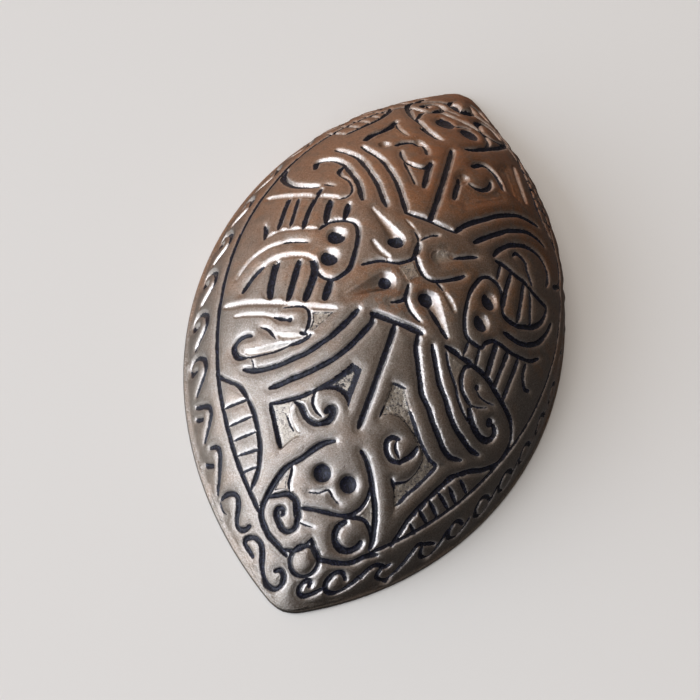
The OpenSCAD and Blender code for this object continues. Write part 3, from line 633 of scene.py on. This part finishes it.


# The way across a groove to the wall that faces the light, which gets a painted highlight, and the way to the
# side of a small pit that is kept clear of patina and given a painted highlight
litWay = Vector((0.67, 0.74, 0.0))
pitLit = Vector((0.42, 0.91, 0.0))
lean = litWay * relief["lean"]


def facingLight(off):
    return smoothStep(-0.1, 0.7, off.dot(litWay) / max(off.length, 0.05))


def slope(low, high, value):
    # a straight wall with its two ends rounded a little
    t = min(1.0, max(0.0, (value - low) / (high - low)))
    return 0.65 * t + 0.35 * t * t * (3 - 2 * t)


def reliefAt(p):
    # depth to take off along the normal, distance beyond the nearest groove (less than 0 in it), distance
    # into the nearest panel, how grainy its floor is, how much patina lies by its walls, and the painted
    # highlight
    wide = 1 + relief["wander"] * noise.noise(p * 0.9)
    run = relief["wallRun"]
    lowered = paintedHighlight = 0.0
    gap = relief["farthest"]
    # painted shade: the patina is moved off the wall that faces the light onto the other wall, and towards
    # the right this turns round; the painted highlights are dimmed there
    shade = lean * max(relief["leanLeast"], 1 - max(0.0, p.x) * relief["leanFade"])
    glow = 1 - relief["dimmed"] * smoothStep(5.0, 10.0, p.x) * smoothStep(-10.0, -6.0, p.y)
    for near, index, distance in lineTree.find_n(p, 5):
        half, deep, dirt = strokes[index][1:]
        half *= wide
        if not dirt:
            # a valley without patina is one soft slope on each side
            lowered = max(lowered, deep * max(0.0, 1 - distance / half))
            # its slope that faces the light gets a painted highlight
            paintedHighlight = max(paintedHighlight, facingLight(p - near) * (1 - smoothStep(half * 0.6, half, distance)))
            continue
        off = p - near
        sunk = 1 - slope(half - run * 0.75, half + run * 0.25, (off - lean).length)
        lowered = max(lowered, deep * sunk)
        gap = min(gap, (off + shade).length - half)
        # the wall that faces the light gets a painted highlight
        paintedHighlight = max(paintedHighlight, glow * facingLight(off) * (1 - smoothStep(0.03, 0.18, off.length - half)))
    hollow = 0.0
    rim = gap
    for pitGap, radius, deep, litSideClear, off in pitsNear(p - lean):
        rim = min(rim, pitGap)
        if litSideClear == 1 and pitGap < 0:
            # an open hollow gets a painted highlight on the side that faces the light
            paintedHighlight = max(paintedHighlight, facingLight(off) * smoothStep(0.2, 0.7, 1 + pitGap / radius))
            hollow = max(hollow, deep * (1 - max(0.0, 1 + pitGap / radius) ** 1.8))
        elif litSideClear < 1:
            share = min(1.0, max(0.0, 1 + (pitGap - 0.04) / radius))
            lowered = max(lowered, deep * math.sqrt(1 - share * share))
        if litSideClear < 1:
            # painted shade: the patina is held back from the side that faces the light, so it lies on the
            # other side, and that lit side gets a painted highlight
            paintedLitSide = litSideClear * smoothStep(0.0, 0.9, off.dot(pitLit) / max(off.length, 0.05))
            gap = min(gap, pitGap * (1 - paintedLitSide * 2.2) + paintedLitSide * radius * 0.55)
            paintedHighlight = max(paintedHighlight, glow * facingLight(off) * (1 - smoothStep(0.0, 0.12, pitGap)))
    lowered = max(lowered, hollow)
    panelDeep, grainy, dirt, paintedFloorHighlight = panelAt(p.x, p.y)
    edge = min(relief["farthest"], edgeTree.find(p)[2])
    beyond = max(0.0, min(rim, gap, edge))
    softened = (relief["shoulder"] * math.exp(-(beyond / relief["shoulderReach"]) ** 1.4)
                + relief["pillow"] * math.exp(-(beyond / relief["pillowReach"]) ** 2))
    lowered = max(lowered, softened)
    if panelDeep:
        lowered = max(lowered, panelDeep * smoothStep(0.0, relief["panelWall"], edge))
        return lowered, gap, edge, grainy, dirt, max(paintedHighlight, paintedFloorHighlight)
    return lowered, gap, -edge, 0.0, 0.0, paintedHighlight


def raisedAt(x, y):
    for cx, cy in pellet["places"]:
        gap = math.hypot(x - cx, y - cy) / pellet["radius"]
        if gap < 1:
            return pellet["rise"] * math.sqrt(1 - gap * gap)
    return 0.0


# The shell
shell = {
    "rowCount": 30,
    "columnCount": 18,
    "fineEdge": 0.155,     # longest edge allowed at a wall of the relief
    "fineBand": 0.13,      # how near a wall an edge has to be for that, and for the middle length
    "middleBand": 0.5,
    "lengthShare": 0.175,  # the share of its own length that brings an edge nearer to a wall
    "middleEdge": 0.30,
    "coarseEdge": 0.85,
    "slack": 1.25,         # an edge is cut only where it is this much longer
    "rounds": 7,
    "hollowRings": 12,
}


def only(kind, found):
    return [g for g in found if isinstance(g, kind)]


def pullToRim(v):
    # a new point on the boundary goes out to the true arc
    side = 1 if v.co.x >= 0 else -1
    turn = math.atan2(v.co.y, abs(v.co.x) + rimAside)
    x = rimRadius * math.cos(turn) - rimAside
    v.co = Vector((side * x, rimRadius * math.sin(turn), dome["rimEdge"]))


def buildShell():
    bm = bmesh.new()
    rows, columns = shell["rowCount"], shell["columnCount"]
    bmesh.ops.create_grid(bm, x_segments=columns, y_segments=rows, size=1.0)
    for v in bm.verts:
        share = v.co.y
        y = dome["halfLength"] * (math.sin(math.pi * share / 2) + share) / 2
        reach = max(0.0, math.sqrt(max(rimRadius ** 2 - y * y, 0.0)) - rimAside)
        v.co = Vector((reach * math.sin(math.pi * v.co.x / 2), y, 0.0))
    bmesh.ops.remove_doubles(bm, verts=bm.verts[:], dist=1e-4)
    for v in bm.verts:
        v.co.z = skinHeight(v.co.x, v.co.y)
    bmesh.ops.triangulate(bm, faces=bm.faces[:])
    gaps = {}
    for turn in range(shell["rounds"]):
        for v in bm.verts:
            if v not in gaps:
                gaps[v] = wallGap(v.co)
        long = []
        for e in bm.edges:
            a, b = e.verts
            length = (a.co - b.co).length
            gap = max(0.0, (gaps[a] + gaps[b]) / 2 - length * shell["lengthShare"])
            wanted = shell["coarseEdge"]
            if gap < shell["middleBand"]:
                wanted = shell["fineEdge"] if gap < shell["fineBand"] else shell["middleEdge"]
            if length > wanted * shell["slack"]:
                long.append(e)
        if not long:
            break
        made = bmesh.ops.subdivide_edges(bm, edges=long, cuts=1, use_grid_fill=False)
        for v in only(bmesh.types.BMVert, made["geom_inner"]):
            if v.is_boundary:
                pullToRim(v)
            else:
                v.co.z = skinHeight(v.co.x, v.co.y)
        bmesh.ops.triangulate(bm, faces=[f for f in bm.faces if len(f.verts) > 3])
        print("round", turn, "vertices", len(bm.verts), "faces", len(bm.faces))
    return bm


def insetPoint(x, y, inset, was=0.0):
    # the matching point of the footprint that is this much smaller all round
    def tipTurn(r):
        return math.acos(rimAside / r)

    radius = rimRadius - inset
    turn = math.atan2(y, abs(x) + rimAside) * tipTurn(radius) / tipTurn(rimRadius - was)
    side = 1 if x >= 0 else -1
    return side * max(0.0, radius * math.cos(turn) - rimAside), radius * math.sin(turn)


def bluntTip(v):
    # the last millimetre of each tip is drawn in
    beyond = abs(v.co.y) - dome["halfLength"] + 1
    if beyond > 0:
        v.co.y -= math.copysign(relief["blunt"] * beyond ** 2, v.co.y)


# What each point of the skin keeps for the finish, besides whether it is within the hollow
surfaceMarks = ("gap", "floor", "grainy", "dirt", "paintedHighlight")


def carveRelief(bm):
    layers = {name: bm.verts.layers.float.new(name) for name in surfaceMarks + ("within",)}
    for v in bm.verts:
        p = v.co.copy()
        n = outward(p.x, p.y)
        lowered, gap, floor, grainy, dirt, paintedHighlight = reliefAt(p)
        # the plain edge keeps its place, so that the outline stays true
        keep = smoothStep(0.0, 0.5, p.z - dome["rimEdge"])
        wave = relief["unevenness"] * noise.noise(p * 0.28) - relief["unevenness"]
        grain = relief["roughFloor"] * noise.noise(p * 3.1) * grainy * smoothStep(0.1, 0.3, floor)
        rise = raisedAt(p.x, p.y)
        foot = relief["lip"] * (1 - smoothStep(0.8, 6.0, p.z))
        inward = Vector((n.x, n.y, 0.0))
        v.co = p + n * (keep * (wave + grain + rise - lowered)) - inward.normalized() * (foot * keep)
        for name, value in zip(surfaceMarks, (gap, floor, grainy, dirt, paintedHighlight)):
            v[layers[name]] = value
    return layers


# The plain rim, from its top edge round to the foot of the hollow: height, and how far in from the outline
rimRings = [
    (dome["rimEdge"], 0.07),
    (dome["rimEdge"] - relief["lipBevel"], 0.0),
    (0.12, 0.0),
    (0.0, 0.10),
    (0.0, dome["wall"]),
]


def closeShell(bm, layers):
    # out over the lip, down the plain edge, in under the rim and up the hollow
    def extrudeRim(edges):
        made = bmesh.ops.extrude_edge_only(bm, edges=edges)["geom"]
        return only(bmesh.types.BMVert, made), [e for e in only(bmesh.types.BMEdge, made) if e.is_boundary]

    edges = [e for e in bm.edges if e.is_boundary]
    for v in {v for e in edges for v in e.verts}:
        x, y = insetPoint(v.co.x, v.co.y, relief["lip"])
        v.co = Vector((x, y, dome["rimEdge"] + relief["lipBevel"]))
    inset = relief["lip"]
    for height, wanted in rimRings:
        verts, edges = extrudeRim(edges)
        for v in verts:
            # the inset so far is taken back, so that every ring is measured from the outline
            x, y = insetPoint(v.co.x, v.co.y, wanted, inset)
            v.co = Vector((x, y, height))
            v[layers["within"]] = 1.0 if wanted == dome["wall"] else 0.0
        inset = wanted
    rings = shell["hollowRings"]
    for k in range(1, rings):
        shrink = math.cos(math.pi / 2 * k / rings) / math.cos(math.pi / 2 * (k - 1) / rings)
        verts, edges = extrudeRim(edges)
        for v in verts:
            x, y = v.co.x * shrink, v.co.y * shrink
            v.co = Vector((x, y, skinHeight(x, y, dome["wall"])))
            v[layers["within"]] = 1.0
    middle, edges = extrudeRim(edges)
    for v in middle:
        v.co = Vector((0.0, 0.0, dome["height"] - dome["wall"]))
        v[layers["within"]] = 1.0
    bmesh.ops.remove_doubles(bm, verts=middle, dist=0.01)
    for v in bm.verts:
        bluntTip(v)


print("building the shell")
shellMesh = buildShell()
shellLayers = carveRelief(shellMesh)
closeShell(shellMesh, shellLayers)

# The two pads inside, which carry the pin's feet
pad = {"side": 3.2, "faceZ": 4.6, "fromMiddle": 19.0, "soften": 0.15}


def addPads(bm, layers):
    # a block at each end, let into the wall, with all but its top edges softened
    for end in (-1, 1):
        made = bmesh.ops.create_cube(bm, size=1.0)["verts"]
        for v in made:
            x = v.co.x * pad["side"]
            y = end * pad["fromMiddle"] + v.co.y * pad["side"]
            v.co = Vector((x, y, pad["faceZ"] if v.co.z < 0 else skinHeight(x, y, dome["wall"] / 2)))
            v[layers["within"]] = 1.0
        low = [e for e in bm.edges if e.verts[0] in made and e.verts[1] in made
               and not all(abs(v.co.z - pad["faceZ"]) > 0.01 for v in e.verts)]
        bmesh.ops.bevel(bm, geom=low, offset=pad["soften"], segments=2, profile=0.5, affect="EDGES",
                        material=-1)


addPads(shellMesh, shellLayers)
bmesh.ops.triangulate(shellMesh, faces=[f for f in shellMesh.faces if len(f.verts) > 3])
bmesh.ops.scale(shellMesh, vec=Vector((millimetre,) * 3), verts=shellMesh.verts[:])
for face in shellMesh.faces:
    face.smooth = True


def addObject(name, data):
    item = bpy.data.objects.new(name, data)
    bpy.context.scene.collection.objects.link(item)
    return item


def objectFrom(name, bm):
    data = bpy.data.meshes.new(name)
    bm.to_mesh(data)
    bm.free()
    return addObject(name, data)


shellPiece = objectFrom("shellPiece", shellMesh)
print("shell triangles", len(shellPiece.data.polygons))


# Finishes
class Wire:
    # a socket that works in sums: each operator adds one Math node
    def __init__(self, tree, socket):
        self.tree, self.socket = tree, socket

    def join(self, operation, first, second):
        node = self.tree.nodes.new("ShaderNodeMath")
        node.operation = operation
        for slot, value in zip(node.inputs, (first, second)):
            if isinstance(value, Wire):
                self.tree.links.new(value.socket, slot)
            else:
                slot.default_value = value
        return Wire(self.tree, node.outputs[0])

    def __add__(self, other):
        return self.join("ADD", self, other)

    def __radd__(self, other):
        return self.join("ADD", other, self)

    def __sub__(self, other):
        return self.join("SUBTRACT", self, other)

    def __rsub__(self, other):
        return self.join("SUBTRACT", other, self)

    def __mul__(self, other):
        return self.join("MULTIPLY", self, other)

    def __rmul__(self, other):
        return self.join("MULTIPLY", other, self)


class Finish:
    # a material or the studio's world, with one method that adds any node
    def __init__(self, holder):
        self.holder = holder
        holder.use_nodes = True
        self.tree = holder.node_tree
        self.tree.nodes.clear()

    def add(self, kind, settings=None, values=None, output=0):
        node = self.tree.nodes.new("ShaderNode" + kind)
        for key, value in (settings or {}).items():
            setattr(node, key, value)
        for key, value in (values or {}).items():
            if isinstance(value, Wire):
                self.tree.links.new(value.socket, node.inputs[key])
            else:
                node.inputs[key].default_value = value
        return Wire(self.tree, node.outputs[output]) if node.outputs else node

    def greater(self, first, second):
        return self.add("Math", {"operation": "MAXIMUM"}, {0: first, 1: second})

    def ramp(self, value, low, high):
        return self.add("MapRange", {"interpolation_type": "SMOOTHSTEP"},
                        {"Value": value, "From Min": low, "From Max": high})

    def blend(self, share, first, second, way="MIX"):
        values = {0: share}
        for slot, colour in ((6, first), (7, second)):
            values[slot] = colour if isinstance(colour, Wire) else tuple(colour) + (1,)
        return self.add("Mix", {"data_type": "RGBA", "blend_type": way}, values, 2)

    def mark(self, name):
        # a value that the mesh keeps at each point
        return self.add("Attribute", {"attribute_name": name}, None, 2)

    def mottle(self, spot, scale, detail, roughness):
        return self.add("TexNoise", None,
                        {"Vector": spot, "Scale": scale, "Detail": detail, "Roughness": roughness})

    def inMillimetres(self):
        spot = self.add("TexCoord", None, None, 3)
        return self.add("Mapping", None, {"Vector": spot, "Scale": (1 / millimetre,) * 3})

    def surface(self, values):
        shader = self.add("BsdfPrincipled", None, values)
        self.add("OutputMaterial", None, {"Surface": shader})
        return self.holder


bronzeLook = {
    "nearMetal": (0.345, 0.300, 0.258),
    "farMetal": (0.43, 0.26, 0.16),
    "warmPatch": (0.48, 0.27, 0.145),
    "copperPatch": (0.50, 0.225, 0.095),   # more orange past the crown
    "coolPatch": (0.24, 0.220, 0.190),
    "darkGrain": (0.19, 0.150, 0.120),
    "paintedLitFlank": (0.72, 0.54, 0.43),           # painted light: brighter on the left, where the light falls
    "patina": (0.006, 0.0065, 0.012),
    # bluish painted gleams in the patina
    "patinaPaintedGleam": (0.032, 0.036, 0.075),
    "panelFloor": (0.60, 0.54, 0.45),
    "wornEdgeAndHighlight": (0.92, 0.87, 0.82),
    "insideMetal": (0.20, 0.165, 0.13),
    "insideDark": (0.11, 0.095, 0.08),
    "roughness": 0.31,
}


def castBronze():
    look = bronzeLook
    f = Finish(bpy.data.materials.new("castBronze"))
    spot = f.inMillimetres()
    gap, floor, grainy, dirt, paintedHighlight = (f.mark(name) for name in surfaceMarks)
    within = f.mark("within")
    across = f.add("SeparateXYZ", None, {"Vector": spot}, 0)
    along = f.add("SeparateXYZ", None, {"Vector": spot}, 1)
    cloudy = f.mottle(spot, 0.20, 4.0, 0.6)
    blotch = f.mottle(spot, 0.85, 5.0, 0.65)
    grit = f.mottle(spot, 3.4, 4.0, 0.65)
    speck = f.mottle(spot, 5.5, 5.0, 0.7)
    grain = f.mottle(spot, 8.5, 2.0, 0.8)
    streak = f.add("Mapping", None, {"Vector": spot, "Rotation": (0.2, 0.1, 0.6), "Scale": (7.0, 0.5, 1.5)})
    scratch = f.mottle(streak, 1.6, 6.0, 0.75)
    # the metal, from broad colours to finest grain, then worn edges with painted highlights, then the panels'
    # floors
    nearCrown = (f.ramp(along, -6.5, -4.0) * f.ramp(along, 1.0, -1.0)
                 * f.ramp(across, -6.0, -3.0) * f.ramp(across, 4.0, 2.0))
    copper = (f.ramp(along, 6.0, 12.0) * f.ramp(across, -6.0, 0.0) * f.ramp(cloudy, 0.2, 0.7)
              + nearCrown * f.ramp(blotch, 0.44, 0.58) * 0.7)
    worn = f.ramp(gap, 0.26, 0.08) * f.ramp(floor, -0.02, -0.10) * 0.12
    # painted highlight on the walls and floors that face the light, broken up by blotches
    paintedLitSide = paintedHighlight * (0.4 + f.ramp(blotch, 0.36, 0.58) * 0.45)
    panel = f.ramp(floor, 0.10, 0.22)
    pale = panel * f.ramp(grit, 0.30, 0.55) * (0.25 + grainy * 0.75) * (1 - f.ramp(along, 5.0, 9.0) * 0.85)
    metal = f.blend(f.ramp(along, -8.0, 20.0), look["nearMetal"], look["farMetal"])
    for share, colour in (
            (f.ramp(cloudy, 0.45, 0.62) * (0.15 + f.ramp(along, -10.0, 2.0) * 0.6), "warmPatch"),
            (copper, "copperPatch"),
            # painted light on the left flank
            (f.ramp(across, -3.0, -8.0) * f.ramp(along, -9.0, -1.0) * 0.22, "paintedLitFlank"),
            (f.ramp(along, -26.5, -30.0) * 0.7, "coolPatch"),
            (f.ramp(blotch, 0.46, 0.68) * 0.5, "coolPatch"),
            (f.ramp(speck, 0.54, 0.70) * 0.28, "wornEdgeAndHighlight"),
            (f.ramp(speck, 0.44, 0.32) * 0.4, "coolPatch"),
            (f.ramp(grain, 0.54, 0.66) * 0.30, "wornEdgeAndHighlight"),
            (f.ramp(grain, 0.48, 0.36) * 0.65, "darkGrain"),
            (f.greater(worn, paintedLitSide), "wornEdgeAndHighlight"),
            (pale, "panelFloor")):
        metal = f.blend(share, metal, look[colour])
    metal = f.blend(within, metal, f.blend(blotch, look["insideMetal"], look["insideDark"]))
    # patina lies in the grooves, along the foot of a panel's wall and in the pits of its floor
    ragged = (blotch - 0.5) * 0.16 + (speck - 0.5) * 0.15
    inGroove = f.ramp(gap + ragged, -0.04, -0.12)
    onWall = f.greater(dirt - 1.0, 0.0)
    corner = (f.ramp(dirt, 0.0, 0.2) * f.ramp(floor + onWall * 0.6, 0.14, 0.22)
              * f.ramp(floor + ragged * 2.4 - dirt * 0.34, 0.28, 0.08))
    inPanel = panel * grainy * (f.ramp(grit, 0.48, 0.38) * 0.6 + f.ramp(grain, 0.50, 0.40) * 0.6)
    pinhole = f.ramp(speck, 0.36, 0.29) * 0.55 * (1 - within)
    patina = f.ramp(inGroove + corner + inPanel + pinhole, 0.0, 1.0)
    # the patina, with bluish painted gleams scattered in it
    dark = f.blend(f.ramp(speck, 0.50, 0.64) * 0.7, look["patina"], look["patinaPaintedGleam"])
    rough = (look["roughness"] + (blotch - 0.5) * 0.16 + (scratch - 0.5) * 0.14 + panel * 0.06 + within * 0.12
             - patina * 0.08)
    height = speck * 1.1 + grain * 1.2 + scratch * 0.22 + blotch * 0.6 + grit * panel * (0.8 + grainy * 3.2)
    bump = f.add("Bump", None, {"Strength": 0.35, "Distance": 0.14 * millimetre, "Height": height})
    return f.surface({
        "Base Color": f.blend(patina, metal, dark),
        "Metallic": 1 - patina * 0.8,
        "Specular IOR Level": 0.45,
        "Roughness": rough,
        "Normal": bump,
    })


wireLook = {"metal": (0.52, 0.45, 0.36), "tarnish": (0.34, 0.28, 0.22), "roughness": 0.30}


def drawnWire():
    f = Finish(bpy.data.materials.new("drawnWire"))
    spot = f.inMillimetres()
    streak = f.add("Mapping", None, {"Vector": spot, "Scale": (5.0, 0.25, 5.0)})
    lines = f.mottle(streak, 1.5, 5.0, 0.7)
    cloudy = f.mottle(spot, 0.7, 3.0, 0.6)
    colour = f.blend(f.ramp(cloudy, 0.35, 0.7), wireLook["metal"], wireLook["tarnish"])
    bump = f.add("Bump", None, {"Strength": 0.25, "Distance": 0.08 * millimetre, "Height": lines})
    return f.surface({
        "Base Color": colour,
        "Metallic": 1.0,
        "Roughness": wireLook["roughness"] + (lines - 0.5) * 0.25,
        "Normal": bump,
    })


print("finishes")
shellPiece.data.materials.append(castBronze())
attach(shellPiece, "root")
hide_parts("shell")
wire = drawnWire()
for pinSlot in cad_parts["pin"].material_slots:
    pinSlot.material = wire

# Floor, camera and light
stand = {
    "floorSize": 3.0,
    "floorColour": (0.74, 0.73, 0.70),
    "azimuth": 5.559,
    "elevation": 58.559,
    "roll": 26.085,
    "lens": 180.02,
    "aside": (0.002580, 0.000660),
    "distance": 0.335677,
}


def paleFloor():
    bm = bmesh.new()
    bmesh.ops.create_grid(bm, x_segments=1, y_segments=1, size=stand["floorSize"] / 2)
    floor = objectFrom("floor", bm)
    floor.visible_glossy = False   # the metal mirrors the dim room instead
    f = Finish(bpy.data.materials.new("paleFloor"))
    floor.data.materials.append(f.surface({"Base Color": stand["floorColour"] + (1,), "Roughness": 0.8}))


def placeCamera():
    azimuth, elevation, roll = (math.radians(stand[k]) for k in ("azimuth", "elevation", "roll"))
    forward = Vector((math.sin(azimuth) * math.cos(elevation), math.cos(azimuth) * math.cos(elevation),
                      -math.sin(elevation)))
    flat = Vector((math.cos(azimuth), -math.sin(azimuth), 0.0))
    rise = flat.cross(forward)
    right = math.cos(roll) * flat + math.sin(roll) * rise
    up = -math.sin(roll) * flat + math.cos(roll) * rise
    centre = -(right * stand["aside"][0] + up * stand["aside"][1] + forward * stand["distance"])
    data = bpy.data.cameras.new("photoView")
    data.lens = stand["lens"]
    data.sensor_width = 36.0
    data.clip_start = 0.01
    camera = addObject("photoView", data)
    turn = Matrix((right, up, -forward)).transposed().to_4x4()
    camera.matrix_world = Matrix.Translation(centre) @ turn
    bpy.context.scene.camera = camera


# Lamps: name, place, size, brightness of the lamp's face, colour, whether the metal mirrors it
lamps = [
    ("keyLight", (-0.66, -0.62, 0.44), (1.25, 0.72), 3.3, (0.77, 0.85, 1.0), True),
    ("topLight", (-0.30, -0.10, 1.25), (1.0, 1.0), 1.7, (1.0, 0.98, 0.95), False),
]


def softLight(name, place, size, glow, colour, mirrored):
    # a larger lamp gives more light
    data = bpy.data.lights.new(name, "AREA")
    data.shape = "RECTANGLE"
    data.size, data.size_y = size
    data.energy = glow * math.pi * size[0] * size[1]
    data.color = colour
    lamp = addObject(name, data)
    place = Vector(place)
    lamp.matrix_world = Matrix.Translation(place) @ (-place).to_track_quat("-Z", "Y").to_matrix().to_4x4()
    lamp.visible_glossy = mirrored


studio = {
    "base": (0.062, 0.058, 0.058),
    "soft": (1.00, 0.99, 1.00),       # the large soft side of the room
    "softFrom": (-0.82, -0.36, 0.10),
    "warm": (0.54, 0.38, 0.30),       # the warm side, past the far tip
    "warmFrom": (-0.52, 0.84, 0.08),
    "above": (0.235, 0.19, 0.16),
}


def studioWorld():
    world = bpy.data.worlds.new("studio")
    f = Finish(world)
    heading = f.add("TexCoord", None, None, 0)

    def share(way, low, high):
        way = Vector(way).normalized()
        facing = f.add("VectorMath", {"operation": "DOT_PRODUCT"}, {0: heading, 1: tuple(way)}, 1)
        return f.ramp(facing, low, high)

    room = f.blend(share(studio["softFrom"], 0.0, 1.0), studio["base"], studio["soft"])
    room = f.blend(share(studio["warmFrom"], 0.55, 1.0), room, studio["warm"])
    room = f.blend(share((0.0, 0.1, 1.0), 0.3, 1.0), room, studio["above"], "ADD")
    glow = f.add("Background", None, {"Color": room, "Strength": 1.0})
    f.add("OutputWorld", None, {"Surface": glow})
    bpy.context.scene.world = world


print("floor, camera and light")
paleFloor()
placeCamera()
studioWorld()
for row in lamps:
    softLight(*row)
bpy.context.scene.view_settings.view_transform = "Standard"
